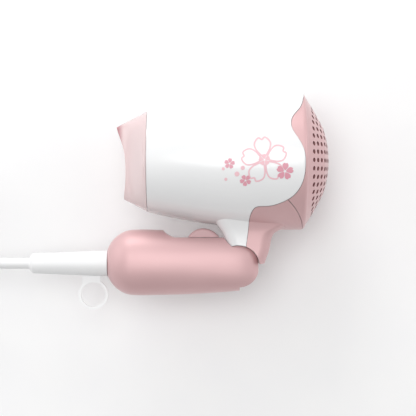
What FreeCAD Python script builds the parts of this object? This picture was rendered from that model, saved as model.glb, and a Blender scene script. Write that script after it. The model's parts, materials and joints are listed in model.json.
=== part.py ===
# Folding travel hair dryer lying on its right-hand side, handle folded under the barrel.
#
# Frame, in millimetres: +Z is up, away from the surface the dryer lies on, and the surface is Z = 0.
# +X runs from the air outlet to the perforated rear dome, +Y from the handle to the barrel.
# The barrel's axis is parallel to X, and the mould parting plane of every casing is Z = mid_z.
# The origin is the middle of the bottom of the box round the dryer without its lead.
import FreeCAD, Part
import Sketcher
import math
import os

Vector = FreeCAD.Vector
DOC = FreeCAD.newDocument("folding_hair_dryer")

# ---------------------------------------------------------------------------------------------
# Driving dimensions
# ---------------------------------------------------------------------------------------------

DIMENSIONS = {
    # places of the main axes
    "mid_z": 40.9,
    "barrel_y": 24.2,
    "hinge_x": 35.2,
    "hinge_y": -38.5,
    "lead_y": -36.9,
    # barrel profile: station along X and radius
    "rim_x": -18.8,
    "rim_radius": 30.4,
    "belly_x": 20.2,
    "belly_radius": 37.9,
    "tail_x": 72.4,
    "tail_radius": 40.9,
    "dome_centre_x": 30.0,
    "dome_radius": 59.4,
    "dome_reach": 20.0,
    "flank_x": 81.5,
    "flank_radius": 28.2,
    "edge_x": 75.1,
    "edge_radius": 38.6,
    "dome_soft_edge": 0.46,
    "wall": 2.2,
    "seam_gap": 0.22,
    # perforations of the rear dome
    "hole_radius": 1.3,
    "hole_pitch": 4.9,
    "hole_ring_first": 2.2,
    "hole_ring_step": 4.37,
    "hole_rings": 8,
    "filter_radius": 34.6,
    # nozzle
    "nozzle_base_x": -19.1,
    "nozzle_base_radius": 30.2,
    "nozzle_mouth_x": -38.6,
    "nozzle_mouth_half_length": 19.9,
    "nozzle_mouth_half_width": 5.2,
    "nozzle_wall": 1.6,
    "collar_radius": 27.9,
    "collar_end_x": -13.6,
    "collar_wall": 2.08,
    # air path
    "grille_x": -12.4,
    "grille_radius": 29.6,
    "grille_depth": 2.4,
    "mica_start": -9.4,
    "mica_end": 35.4,
    "mica_radius": 27.4,
    "mica_wall": 0.6,
    "board_start": -6.0,
    "board_end": 31.0,
    "board_half": 22.2,
    "board_thick": 0.8,
    "coil_radius": 23.6,
    "coil_wire": 0.7,
    "duct_start": 35.6,
    "duct_end": 72.0,
    "duct_radius": 34.2,
    "duct_wall": 1.2,
    "duct_flange_x": 44.0,
    "duct_flange_radius": 36.6,
    # motor and fan
    "motor_start": 40.0,
    "motor_end": 60.0,
    "motor_radius": 12.0,
    "motor_wall": 0.9,
    "motor_cap": 2.2,
    "shaft_radius": 1.0,
    "shaft_start": 38.6,
    "shaft_end": 75.6,
    "bush_radius": 3.0,
    "bush_play": 0.03,
    "armature_radius": 8.6,
    "magnet_radius": 10.9,
    "commutator_radius": 3.2,
    "impeller_start": 63.6,
    "impeller_end": 74.8,
    "impeller_hub": 11.0,
    "impeller_radius": 31.6,
    "blade_count": 7,
    "blade_half_thick": 0.6,
    "blade_half_depth": 5.33,
    # handle and hinge
    "ear_radius": 12.4,
    "ear_inner": 7.3,
    "handle_tip_x": -44.5,
    "handle_cap": 17.6,
    "handle_half_height": 19.6,
    "handle_half_width": 16.8,
    "handle_mid_y": -36.3,
    "taper_start": -20.0,
    "taper_height": 0.00115,
    "taper_width": 0.0004,
    "taper_drop": 0.0003,
    "tube_squareness": 2.15,
    "hinge_squareness": 2.6,
    "knuckle_radius": 10.0,
    "knuckle_half": 7.0,
    "neck_arc": 12.75,
    "neck_tip_angle": 7.2,
    "arm_x": 32.7,
    "arm_length": 12.6,
    "boss_radius": 3.3,
    "boss_end": 14.5,
    "screw_clear": 1.6,
    "screw_core": 1.3,
    "screw_sink": 3.0,
    "pin_radius": 2.45,
    "pin_play": 0.05,
    "slot_clear": 13.1,
    "step_x": 36.0,
    "scoop_y": -21.4,
    "bulkhead_x": 21.0,
    # slide switch
    "switch_travel": 7.0,
    "knob_half": 7.0,
    "stem_half": 2.5,
    "stem_x": 10.0,
    "stem_length": 5.5,
    # lead
    "cord_radius": 3.25,
    "relief_tip_x": -89.4,
    "relief_base_x": -43.1,
    "relief_base_radius": 7.8,
    "relief_tip_radius": 6.0,
    "loop_x": -51.6,
    "loop_y": -55.6,
    "loop_outer": 8.9,
    "loop_inner": 7.3,
    "loop_thick": 2.6,
    "coil_x": -176.0,
    "coil_y": 0.85,
    "coil_mid": 34.5,
    "coil_layers": 3,
    "plug_pin_radius": 2.4,
    "plug_pin_pitch": 19.0,
    "plug_pin_length": 19.0,
}

# White-to-pink parting line of the barrel seen from the side, from the top of the tail downwards.
TAIL_SEAM = [(76.5, 66.5), (74.8, 64.1), (71.2, 55.1), (66.2, 48.7), (65.5, 44.0), (69.1, 36.9),
             (72.9, 28.9), (73.5, 20.9), (72.4, 12.8), (69.1, 5.9), (63.4, 1.0)]
# The same line along the belly and down the neck.
NECK_SEAM = [(63.4, 1.0), (59.7, -0.8), (51.4, -2.8), (44.6, -3.8), (42.5, -7.0), (41.2, -15.7),
             (40.0, -25.3), (39.0, -34.0)]
# Crease between the rear cover and the neck cover.
CREASE = [(63.4, 1.0), (68.4, -4.8), (71.5, -10.3), (73.4, -18.5)]

# Neck sections at a height Y: front X, rear X, half width across Z, corner radius.
NECK_SECTIONS = [(0.0, 14.0, 73.0, 24.0, 12.0), (-8.0, 19.5, 70.0, 19.5, 10.0),
                 (-14.5, 23.0, 64.5, 16.6, 8.0), (-18.5, 25.8, 57.0, 15.6, 7.0),
                 (-24.0, 28.4, 54.5, 15.2, 6.5), (-31.0, 31.4, 52.9, 15.0, 6.5),
                 (-40.0, 34.8, 51.0, 15.0, 6.5)]

# Lead from the strain relief's tip to the coil, its points chosen by hand.
CORD_ROUTE = [(-89.4, -36.9, 40.9), (-104.0, -36.9, 40.9), (-119.0, -37.0, 36.6),
              (-133.0, -37.1, 28.6), (-147.0, -37.1, 21.0), (-161.0, -36.9, 16.9),
              (-176.0, -36.9, 16.25)]
# Lead from the coil's bottom layer to the plug.
TAIL_ROUTE = [(-220.25, 0.85, 3.25), (-220.2, 13.5, 3.35), (-218.4, 26.5, 4.7), (-215.2, 38.5, 7.6),
              (-213.0, 49.0, 9.0)]
# Front edge of the nozzle's mouth seen from the side, its upper tip standing further forward.
MOUTH_EDGE = [(-38.0, 48.0), (-37.4, 44.3), (-33.4, 32.0), (-32.0, 21.0), (-32.1, 12.0), (-32.9, 3.6),
              (-33.2, -2.0)]

# Nozzle: share of the way to the mouth, share of the narrowing across Z, squareness of the section.
NOZZLE_STATIONS = [(0.0, 0.0, 2.0), (0.22, 0.34, 2.2), (0.45, 0.70, 2.5), (0.7, 0.94, 2.9),
                   (1.0, 1.0, 3.2)]
# Hinge bracket's arm, from the pin up between the neck's screw posts.
ARM_OUTLINE = [(33.0, -38.5), (33.0, -19.8), (50.4, -19.8), (50.4, -25.4), (45.0, -26.2), (45.0, -38.5),
               (33.0, -38.5)]
# Thumb slide: its foot, rise, crest, fall and far foot, and the middles of its grip grooves.
BUTTON_OUTLINE = [(5.2, -21.15), (8.6, -17.6), (13.4, -15.9), (20.4, -17.8), (24.0, -21.15)]
GRIP_GROOVES = [(10.6, -16.15), (13.4, -15.65), (16.2, -15.8)]
# Plug, from the lead to its face: station, half width, half thickness.
PLUG_STATIONS = [(0.0, 5.0, 5.0), (8.0, 5.8, 5.6), (16.0, 11.0, 7.0), (30.0, 17.0, 8.5),
                 (38.0, 17.6, 8.9)]
# Axes of the self-tapping screws, as X and Y.
NECK_SCREWS = [(37.0, -22.6), (47.2, -22.6)]
HANDLE_SCREWS = [(-21.0, -47.0), (11.0, -46.6)]
CLAMP_SCREWS = [(-31.5, -43.6), (-31.5, -30.2)]

SHEET = DOC.addObject("Spreadsheet::Sheet", "Dims")
for row, (alias, number) in enumerate(DIMENSIONS.items(), start=1):
    SHEET.set(f"A{row}", alias)
    SHEET.set(f"B{row}", str(number))
    SHEET.setAlias(f"B{row}", alias)
DOC.recompute()

NODES = []


def value(expression):
    """Number that an expression over the sheet gives."""
    return float(SHEET.evalExpression(str(expression)))


def node(shape_object, label):
    """Marks a document object as one physical piece with its own file."""
    shape_object.Label = label
    NODES.append(shape_object)
    return shape_object


# ---------------------------------------------------------------------------------------------
# Primitives and booleans bound to the sheet
# ---------------------------------------------------------------------------------------------

TURNS = {"X": FreeCAD.Rotation(Vector(0, 1, 0), 90), "Y": FreeCAD.Rotation(Vector(1, 0, 0), -90),
         "Z": FreeCAD.Rotation()}


def bind(thing, **expressions):
    for prop, expression in expressions.items():
        thing.setExpression(prop, str(expression))


def place(thing, at, turn=None):
    thing.Placement = FreeCAD.Placement(Vector(*[value(part) for part in at]), turn or TURNS["Z"])
    for axis, part in zip("xyz", at):
        thing.setExpression(f"Placement.Base.{axis}", str(part))


def rod(radius, length, at, along="X"):
    thing = DOC.addObject("Part::Cylinder", "rod")
    bind(thing, Radius=radius, Height=length)
    place(thing, at, TURNS[along])
    return thing


def block(size, at):
    thing = DOC.addObject("Part::Box", "block")
    bind(thing, Length=size[0], Width=size[1], Height=size[2])
    place(thing, at)
    return thing


def radial_block(size, x, start, angle):
    """Block standing out from the barrel's axis at an angle, from a start radius; size is X, out, thick."""
    thing = DOC.addObject("Part::Box", "radial_block")
    bind(thing, Length=size[0], Width=size[1], Height=size[2])
    cosine, sine = math.cos(math.radians(angle)), math.sin(math.radians(angle))
    y = f"Dims.barrel_y + ({start}) * {cosine:.6f} + ({size[2]}) / 2 * {sine:.6f}"
    z = f"Dims.mid_z + ({start}) * {sine:.6f} - ({size[2]}) / 2 * {cosine:.6f}"
    place(thing, (x, y, z), FreeCAD.Rotation(Vector(1, 0, 0), angle))
    return thing


def ring(major, minor, at, along="X"):
    thing = DOC.addObject("Part::Torus", "ring")
    bind(thing, Radius1=major, Radius2=minor)
    place(thing, at, TURNS[along])
    return thing


def minus(base, *tools):
    thing = DOC.addObject("Part::Cut", "cut")
    thing.Base = base
    thing.Tool = tools[0] if len(tools) == 1 else plus(*tools)
    return thing


def plus(*parts):
    thing = DOC.addObject("Part::MultiFuse", "joined")
    thing.Shapes = list(parts)
    return thing


def group(*parts):
    """Several separate solids in one node."""
    thing = DOC.addObject("Part::Compound", "group")
    thing.Links = list(parts)
    return thing


def tube(outer, inner, length, at, along="X"):
    return minus(rod(outer, length, at, along), rod(inner, length, at, along))


def on_axis(x):
    """A place on the barrel's axis."""
    return (x, "Dims.barrel_y", "Dims.mid_z")


# ---------------------------------------------------------------------------------------------
# Sketched bodies bound to the sheet
# ---------------------------------------------------------------------------------------------


def origin_plane(body, role):
    return next(item for item in body.Origin.OriginFeatures if item.Role == role)


def outline(body, plane, corners):
    """Closed sketch whose corners are each set by two expressions."""
    sketch = body.newObject("Sketcher::SketchObject", "outline")
    sketch.AttachmentSupport = [(origin_plane(body, plane), "")]
    sketch.MapMode = "FlatFace"
    points = [Vector(value(across), value(up), 0) for across, up in corners]
    count = len(points)
    for index in range(count):
        sketch.addGeometry(Part.LineSegment(points[index], points[(index + 1) % count]))
    for index in range(count):
        sketch.addConstraint(Sketcher.Constraint("Coincident", index, 2, (index + 1) % count, 1))
    for index, (across, up) in enumerate(corners):
        for kind, expression, number in (("DistanceX", across, points[index].x),
                                         ("DistanceY", up, points[index].y)):
            made = sketch.addConstraint(Sketcher.Constraint(kind, -1, 1, index, 1, number))
            sketch.setExpression(f"Constraints[{made}]", str(expression))
    return sketch


def turned(corners, at):
    """Body of revolution about the X direction: corners are (station, radius)."""
    body = DOC.addObject("PartDesign::Body", "turned")
    sketch = outline(body, "XY_Plane", corners)
    feature = body.newObject("PartDesign::Revolution", "revolution")
    feature.Profile = sketch
    feature.ReferenceAxis = (sketch, ["H_Axis"])
    feature.Angle = 360.0
    place(body, at)
    return body


def shaped(label, shape):
    """Piece whose surfaces are lofted or blended, set from the sheet's sizes."""
    thing = DOC.addObject("Part::Feature", label)
    thing.Shape = shape
    thing.Placement = FreeCAD.Placement()
    return node(thing, label)


# ---------------------------------------------------------------------------------------------
# Shape helpers for the casings
# ---------------------------------------------------------------------------------------------

MID_Z = value("Dims.mid_z")
BARREL_Y = value("Dims.barrel_y")
WALL = value("Dims.wall")
GAP = value("Dims.seam_gap")
HINGE = Vector(value("Dims.hinge_x"), value("Dims.hinge_y"), MID_Z)
REACH = 120.0
DEPTH = 60.0


def wire_face(edges):
    return Part.Face(Part.Wire(edges))


def polyline(points):
    return [Part.LineSegment(a, b).toShape() for a, b in zip(points, points[1:])]


def spline(points):
    curve = Part.BSplineCurve()
    curve.interpolate(points)
    return curve.toShape()


def flat(points):
    """Points of the XY plane, below everything."""
    return [Vector(x, y, MID_Z - DEPTH) for x, y in points]


def prism(edges):
    return wire_face(edges).extrude(Vector(0, 0, 2 * DEPTH))


def x_cylinder(radius, start, length):
    return Part.makeCylinder(radius, length, Vector(start, BARREL_Y, MID_Z), Vector(1, 0, 0))


def z_cylinder(radius, low, high, x, y):
    return Part.makeCylinder(radius, high - low, Vector(x, y, low), Vector(0, 0, 1))


def half(side):
    """Half space on one side of the parting plane: -1 below it, +1 above it."""
    low = MID_Z - DEPTH if side < 0 else MID_Z
    return Part.makeBox(2.5 * REACH, 2 * REACH, DEPTH, Vector(-1.2 * REACH, -REACH, low))


def barrel_solid(inset):
    """Barrel and rear dome, turned about the barrel's axis and inset by a wall."""
    centre = value("Dims.dome_centre_x")
    radius = value("Dims.dome_radius") - inset
    reach = value("Dims.dome_reach")

    def dome(distance):
        return Vector(centre + math.sqrt(radius ** 2 - distance ** 2), distance, 0)

    rim = Vector(value("Dims.rim_x"), value("Dims.rim_radius") - inset, 0)
    belly = Vector(value("Dims.belly_x"), value("Dims.belly_radius") - inset, 0)
    tail = Vector(value("Dims.tail_x") - 0.4 * inset, value("Dims.tail_radius") - inset, 0)
    inwards = Vector(-0.86, -0.51, 0) * inset
    edge = Vector(value("Dims.edge_x"), value("Dims.edge_radius"), 0) + inwards
    flank = Vector(value("Dims.flank_x"), value("Dims.flank_radius"), 0) + inwards
    corner = (tail + edge) * 0.5 + Vector(0.5, value("Dims.dome_soft_edge"), 0)
    front = Vector(rim.x, 0, 0)
    edges = [Part.LineSegment(front, rim).toShape(), Part.Arc(rim, belly, tail).toShape(),
             Part.Arc(tail, corner, edge).toShape(), Part.Arc(edge, flank, dome(reach)).toShape(),
             Part.Arc(dome(reach), dome(reach / 2), dome(0)).toShape(),
             Part.LineSegment(dome(0), front).toShape()]
    solid = wire_face(edges).revolve(Vector(0, 0, 0), Vector(1, 0, 0), 360)
    solid.translate(Vector(0, BARREL_Y, MID_Z))
    return solid


def rounded_section(y, front, rear, half_width, corner):
    """Rounded rectangle across the neck at one height."""
    bend = corner * (1 - math.sqrt(0.5))
    low, high = MID_Z - half_width, MID_Z + half_width

    def point(x, z):
        return Vector(x, y, z)

    corners = [(front, low, 1, 1), (rear, low, -1, 1), (rear, high, -1, -1), (front, high, 1, -1)]
    edges = []
    for index, (x, z, sx, sz) in enumerate(corners):
        along_x = point(x + sx * corner, z)
        along_z = point(x, z + sz * corner)
        middle = point(x + sx * bend, z + sz * bend)
        first, last = (along_z, along_x) if index % 2 == 0 else (along_x, along_z)
        edges.append(Part.Arc(first, middle, last).toShape())
    joined = []
    for index in range(4):
        joined.append(edges[index])
        start = edges[index].Vertexes[-1].Point
        end = edges[(index + 1) % 4].Vertexes[0].Point
        joined.append(Part.LineSegment(start, end).toShape())
    return Part.Wire(joined)


def neck_solid(inset):
    wires = [rounded_section(y, front + inset, rear - inset, width - inset, max(corner - inset, 1))
             for y, front, rear, width, corner in NECK_SECTIONS]
    return Part.makeLoft(wires, True, False)


def squared_oval(centre, half_y, half_z, power):
    """Closed smooth section across X, an ellipse at power 2 and squarer above it."""
    points = []
    for index in range(32):
        angle = 2 * math.pi * (index + 0.5) / 32
        cosine, sine = math.cos(angle), math.sin(angle)
        across = math.copysign(abs(cosine) ** (2 / power), cosine)
        up = math.copysign(abs(sine) ** (2 / power), sine)
        points.append(centre + Vector(0, half_y * across, half_z * up))
    curve = Part.BSplineCurve()
    curve.interpolate(points, PeriodicFlag=True)
    return Part.Wire(curve.toShape())


def handle_solid(inset):
    """Handle tube: a rounded end at the lead, a slow taper, then a flatter rounded end at the hinge."""
    tip, cap = value("Dims.handle_tip_x"), value("Dims.handle_cap")
    ear = value("Dims.ear_radius")
    wires = []
    for angle in (25, 38, 51, 64, 77, 90):
        share = math.sin(math.radians(angle))
        x = tip + cap * (1 - math.cos(math.radians(angle)))
        wires.append(handle_section(x, share, share, inset))
    for x in (-14.0, 0.0, 12.0, 24.0):
        wires.append(handle_section(x, 1.0, 1.0, inset))
    for angle in (0, 20, 38, 54, 66, 76):
        flatness = math.cos(math.radians(angle)) ** 0.45
        wires.append(handle_section(HINGE.x + ear * math.sin(math.radians(angle)), 1.0, flatness, inset))
    return Part.makeLoft(wires, True, False)


def handle_section(x, share_y, share_z, inset):
    """Section across X, thinner and squarer the nearer it is to the hinge."""
    away = max(x - value("Dims.taper_start"), 0.0) ** 2
    height = value("Dims.handle_half_height") * share_y - value("Dims.taper_height") * away - inset
    width = (value("Dims.handle_half_width") - value("Dims.taper_width") * away) * share_z - inset
    middle = Vector(x, value("Dims.handle_mid_y") - value("Dims.taper_drop") * away, MID_Z)
    plain, squared = value("Dims.tube_squareness"), value("Dims.hinge_squareness")
    squareness = plain + (squared - plain) * min(max(x / HINGE.x, 0.0), 1.0)
    return squared_oval(middle, height, width, squareness)


# ---------------------------------------------------------------------------------------------
# Barrel casing: two white halves, pink rear cover and pink neck cover
# ---------------------------------------------------------------------------------------------


def pink_region(shift):
    """Everything behind the parting line, moved by a little towards the white halves."""
    x, y = shift
    seam = spline(flat([(a + x, b + y) for a, b in TAIL_SEAM]))
    belly = spline(flat([(a + x, b + y) for a, b in NECK_SEAM]))
    start = seam.Vertexes[0].Point
    end = belly.Vertexes[-1].Point
    round_way = polyline([end, Vector(end.x, -REACH, end.z), Vector(REACH, -REACH, end.z),
                          Vector(REACH, start.y, end.z), start])
    return prism([seam, belly] + round_way)


def neck_region(shift):
    """Everything below the crease and the belly line."""
    x, y = shift
    belly = spline(flat([(a + x, b + y) for a, b in NECK_SEAM]))
    crease = spline(flat([(a + x, b + y) for a, b in CREASE]))
    end = belly.Vertexes[-1].Point
    last = crease.Vertexes[-1].Point
    round_way = polyline([end, Vector(end.x, -REACH, end.z), Vector(last.x, -REACH, end.z), last])
    return prism([belly] + round_way + [crease])


def casing_shell():
    """Barrel and neck wall in one, before it is parted."""
    arc = value("Dims.neck_arc")
    hinge_round = z_cylinder(arc, MID_Z - DEPTH, MID_Z + DEPTH, HINGE.x, HINGE.y)
    hinge_wall = z_cylinder(arc + WALL, MID_Z - DEPTH, MID_Z + DEPTH, HINGE.x, HINGE.y)
    tip = math.tan(math.radians(value("Dims.neck_tip_angle")))
    below_tip = prism(polyline(flat([(HINGE.x, HINGE.y), (HINGE.x + 30, HINGE.y + 30 * tip),
                                     (HINGE.x + 30, HINGE.y - 30), (HINGE.x - 30, HINGE.y - 30),
                                     (HINGE.x - 30, HINGE.y), (HINGE.x, HINGE.y)])))
    wall_below = below_tip.translated(Vector(0, WALL, 0))
    outer = barrel_solid(0).fuse(neck_solid(0).cut(hinge_round).cut(below_tip))
    inner = barrel_solid(WALL).fuse(neck_solid(WALL).cut(hinge_wall).cut(wall_below))
    mouth = x_cylinder(value("Dims.rim_radius") - WALL, value("Dims.rim_x") - 1, 2)
    arm_half = value("Dims.knuckle_half") - 0.1
    arm_slot = Part.makeBox(value("Dims.arm_length"), 16, 2 * arm_half,
                            Vector(value("Dims.arm_x"), -38, MID_Z - arm_half))
    return outer.cut(inner).cut(mouth).cut(arm_slot)


SHELL = casing_shell()


def neck_bosses(side):
    """Screw posts inside the neck, from the wall to the hinge bracket's arm."""
    arm, far = value("Dims.knuckle_half") - 0.3, value("Dims.boss_end")
    low, high = (MID_Z - far, MID_Z - arm) if side < 0 else (MID_Z + arm, MID_Z + far)
    return [z_cylinder(value("Dims.boss_radius"), low, high, x, y) for x, y in NECK_SCREWS]


def neck_holes():
    """Clearance, counterbore and thread core of the neck screws."""
    tools = []
    for x, y in NECK_SCREWS:
        tools.append(z_cylinder(value("Dims.screw_clear"), MID_Z - 20, MID_Z, x, y))
        tools.append(z_cylinder(value("Dims.screw_sink"), MID_Z - 20, MID_Z - 11.5, x, y))
        tools.append(z_cylinder(value("Dims.screw_core"), MID_Z, MID_Z + 12.5, x, y))
    return tools


def with_bosses(shape, bosses, holes):
    return shape.fuse(bosses).cut(holes).removeSplitter()


def casing():
    white = SHELL.cut(pink_region((-GAP, GAP)))
    pink = pink_region((0, 0))
    for side, label in ((-1, "barrel_shell_right"), (1, "barrel_shell_left")):
        piece = white.common(half(side))
        shaped(label, with_bosses(piece, neck_bosses(side)[:1], neck_holes()[:3]))
    neck = SHELL.common(pink).common(neck_region((0, 0)))
    bosses = [neck_bosses(-1)[1], neck_bosses(1)[1]]
    shaped("neck_cover", with_bosses(neck, bosses, neck_holes()[3:]))
    rear = SHELL.common(pink).cut(neck_region((0, 0))).cut(neck_region((GAP, GAP)))
    shaped("rear_cover", perforated(rear))


def perforated(cover):
    """Rings of round holes through the rear dome, parallel to its axis."""
    holes = []
    ring_radius = value("Dims.hole_ring_first")
    for _ in range(int(value("Dims.hole_rings"))):
        count = max(4, round(2 * math.pi * ring_radius / value("Dims.hole_pitch")))
        for index in range(count):
            angle = 2 * math.pi * index / count
            centre = Vector(70, BARREL_Y + ring_radius * math.sin(angle),
                            MID_Z + ring_radius * math.cos(angle))
            holes.append(Part.makeCylinder(value("Dims.hole_radius"), 25, centre, Vector(1, 0, 0)))
        ring_radius += value("Dims.hole_ring_step")
    return cover.cut(Part.makeCompound(holes))


# ---------------------------------------------------------------------------------------------
# Concentrator nozzle
# ---------------------------------------------------------------------------------------------


def nozzle_solid(inset, shift):
    """Bell from the round base to the slot, drawn in by the inset and moved back by the shift."""
    base_x = value("Dims.nozzle_base_x") + shift
    mouth_x = value("Dims.nozzle_mouth_x") + shift
    base = value("Dims.nozzle_base_radius") - inset
    mouth_y = value("Dims.nozzle_mouth_half_length") - inset
    mouth_z = value("Dims.nozzle_mouth_half_width") - inset
    wires = [squared_oval(Vector(base_x + along * (mouth_x - base_x), BARREL_Y, MID_Z),
                          base + along * (mouth_y - base), base + narrow * (mouth_z - base), power)
             for along, narrow, power in NOZZLE_STATIONS]
    bell = Part.makeLoft(wires, True, False)
    return bell, wires[-1]


def nozzle():
    """Bell with a slot at its mouth, on a sleeve that plugs into the outlet and turns there."""
    base_x = value("Dims.nozzle_base_x")
    wall = value("Dims.nozzle_wall")
    collar = value("Dims.collar_radius")
    bell = nozzle_solid(0, 0)[0]
    inside, inside_mouth = nozzle_solid(0.75 * wall, 0.75 * wall)
    slot = Part.Face(inside_mouth).extrude(Vector(-DEPTH, 0, 0))
    sleeve_length = value("Dims.collar_end_x") - base_x + wall
    sleeve = x_cylinder(collar, base_x - wall, sleeve_length)
    bore = x_cylinder(collar - value("Dims.collar_wall"), base_x - wall, sleeve_length + wall)
    edge = spline(flat(MOUTH_EDGE))
    first, last = edge.Vertexes[0].Point, edge.Vertexes[-1].Point
    hollow = prism([edge] + polyline([last, Vector(-DEPTH, last.y, last.z),
                                      Vector(-DEPTH, first.y, first.z), first]))
    shaped("concentrator_nozzle", bell.cut(inside).cut(slot).fuse(sleeve).cut(bore).cut(hollow))


# ---------------------------------------------------------------------------------------------
# Air path, heater, motor and fan, all on the barrel's axis
# ---------------------------------------------------------------------------------------------


def outlet_grille():
    start, depth = "Dims.grille_x", "Dims.grille_depth"
    rings = [tube(f"Dims.grille_radius * {share}", f"Dims.grille_radius * {share} - 1.4", depth,
                  on_axis(start)) for share in (1, 0.72, 0.44)]
    hub = rod("Dims.grille_radius * 0.14", depth, on_axis(start))
    spokes = [radial_block((depth, "Dims.grille_radius - 2", 1.3), start, 1, 45 * index)
              for index in range(8)]
    node(plus(*rings, hub, *spokes), "outlet_grille")


def heater():
    length = "Dims.mica_end - Dims.mica_start"
    node(tube("Dims.mica_radius", "Dims.mica_radius - Dims.mica_wall", length, on_axis("Dims.mica_start")),
         "heat_shield_tube")
    span = "Dims.board_end - Dims.board_start"
    middle = "(Dims.board_start + Dims.board_end) / 2"
    wide = ("Dims.barrel_y - Dims.board_half", "Dims.mid_z - Dims.board_half")
    thin = ("Dims.barrel_y - Dims.board_thick / 2", "Dims.mid_z - Dims.board_thick / 2")
    board_a = block((span, "2 * Dims.board_half", "Dims.board_thick"),
                    ("Dims.board_start", wide[0], thin[1]))
    slot_a = block((span, "Dims.board_thick + 0.2", "Dims.board_thick + 2"),
                   (middle, "Dims.barrel_y - Dims.board_thick / 2 - 0.1",
                    "Dims.mid_z - Dims.board_thick / 2 - 1"))
    node(minus(board_a, slot_a), "heater_board_a")
    board_b = block((span, "Dims.board_thick", "2 * Dims.board_half"),
                    ("Dims.board_start", thin[0], wide[1]))
    slot_b = block((span, "Dims.board_thick + 2", "Dims.board_thick + 0.2"),
                   (f"{middle} - ({span}) + 0.2", "Dims.barrel_y - Dims.board_thick / 2 - 1",
                    "Dims.mid_z - Dims.board_thick / 2 - 0.1"))
    node(minus(board_b, slot_b), "heater_board_b")
    turns = [ring("Dims.coil_radius", "Dims.coil_wire", on_axis(f"Dims.board_start + 3 + {4.4 * index}"))
             for index in range(8)]
    node(group(*turns), "heater_coils")
    node(block((9, 6, 4), (6, "Dims.barrel_y + 7", "Dims.mid_z + Dims.board_thick / 2")), "thermostat")
    fuse_z = "Dims.mid_z + Dims.board_thick / 2 + 1.8"
    node(rod(1.8, 10, (18, "Dims.barrel_y - 10", fuse_z)), "thermal_fuse")


def fan_duct():
    start, end = "Dims.duct_start", "Dims.duct_end"
    length = f"{end} - {start}"
    wall = tube("Dims.duct_radius", "Dims.duct_radius - Dims.duct_wall", length, on_axis(start))
    flange = tube("Dims.duct_flange_radius", "Dims.duct_radius - 0.5", 2, on_axis("Dims.duct_flange_x"))
    shoulder = tube("Dims.duct_radius - 0.5", "Dims.mica_radius - Dims.mica_wall", 1.2, on_axis(start))
    cradle = tube("Dims.motor_radius + 1.4", "Dims.motor_radius + 0.1", "Dims.motor_end - Dims.motor_start",
                  on_axis("Dims.motor_start"))
    vanes = [radial_block((14, "Dims.duct_radius - Dims.motor_radius - 1.9", 1.2), "Dims.motor_start + 3",
                          "Dims.motor_radius + 1.2", 60 * index + 15) for index in range(6)]
    node(plus(wall, flange, shoulder, cradle, *vanes), "fan_duct")


def motor():
    start, end, radius = "Dims.motor_start", "Dims.motor_end", "Dims.motor_radius"
    inner = f"{radius} - Dims.motor_wall"
    can = turned([(start, 3.1), (start, radius), (end, radius), (end, inner),
                  (f"{start} + 1.4", inner), (f"{start} + 1.4", 3.1)], on_axis(0))
    node(can, "motor_can")
    cap = turned([(end, 3.1), (end, radius), (f"{end} + Dims.motor_cap", f"{radius} - 1"),
                  (f"{end} + Dims.motor_cap", 3.1)], on_axis(0))
    node(cap, "motor_end_cap")
    bushes = [tube("Dims.bush_radius", "Dims.shaft_radius + Dims.bush_play", 3, on_axis(at))
              for at in (f"{start} - 0.8", f"{end} - 0.6")]
    node(group(*bushes), "motor_bushes")
    magnet = tube("Dims.magnet_radius", "Dims.magnet_radius - 1.9", 13, on_axis(f"{start} + 2.4"))
    gap = block((16, 5, 30), (f"{start} + 1", "Dims.barrel_y - 2.5", "Dims.mid_z - 15"))
    node(minus(magnet, gap), "motor_magnets")
    core = rod("Dims.armature_radius", 11, on_axis(f"{start} + 3.4"))
    slots = [radial_block((13, 5, 1.2), f"{start} + 2.4", 4.6, 72 * index) for index in range(5)]
    bore = rod("Dims.shaft_radius", 11, on_axis(f"{start} + 3.4"))
    node(minus(core, *slots, bore), "motor_armature")
    node(tube("Dims.commutator_radius", "Dims.shaft_radius", 3, on_axis(f"{start} + 15.4")),
         "commutator")
    shaft_length = "Dims.shaft_end - Dims.shaft_start"
    node(rod("Dims.shaft_radius", shaft_length, on_axis("Dims.shaft_start")), "motor_shaft")
    brush_places = ("Dims.barrel_y + Dims.commutator_radius + 0.1",
                    "Dims.barrel_y - Dims.commutator_radius - 4.3")
    brushes = [block((2.2, 4.2, 2.4), (f"{start} + 15.8", at, "Dims.mid_z - 1.2"))
               for at in brush_places]
    node(group(*brushes), "motor_brushes")
    node(tube(11, 1.6, 1.2, on_axis(36.9)), "rectifier_board")
    diodes = [rod(1.3, 5, (33.9, f"Dims.barrel_y + {dy}", f"Dims.mid_z + {dz}"), "Y")
              for dy in (-7.5, 2.5) for dz in (-5, 5)]
    node(group(*diodes), "rectifier_diodes")


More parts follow.
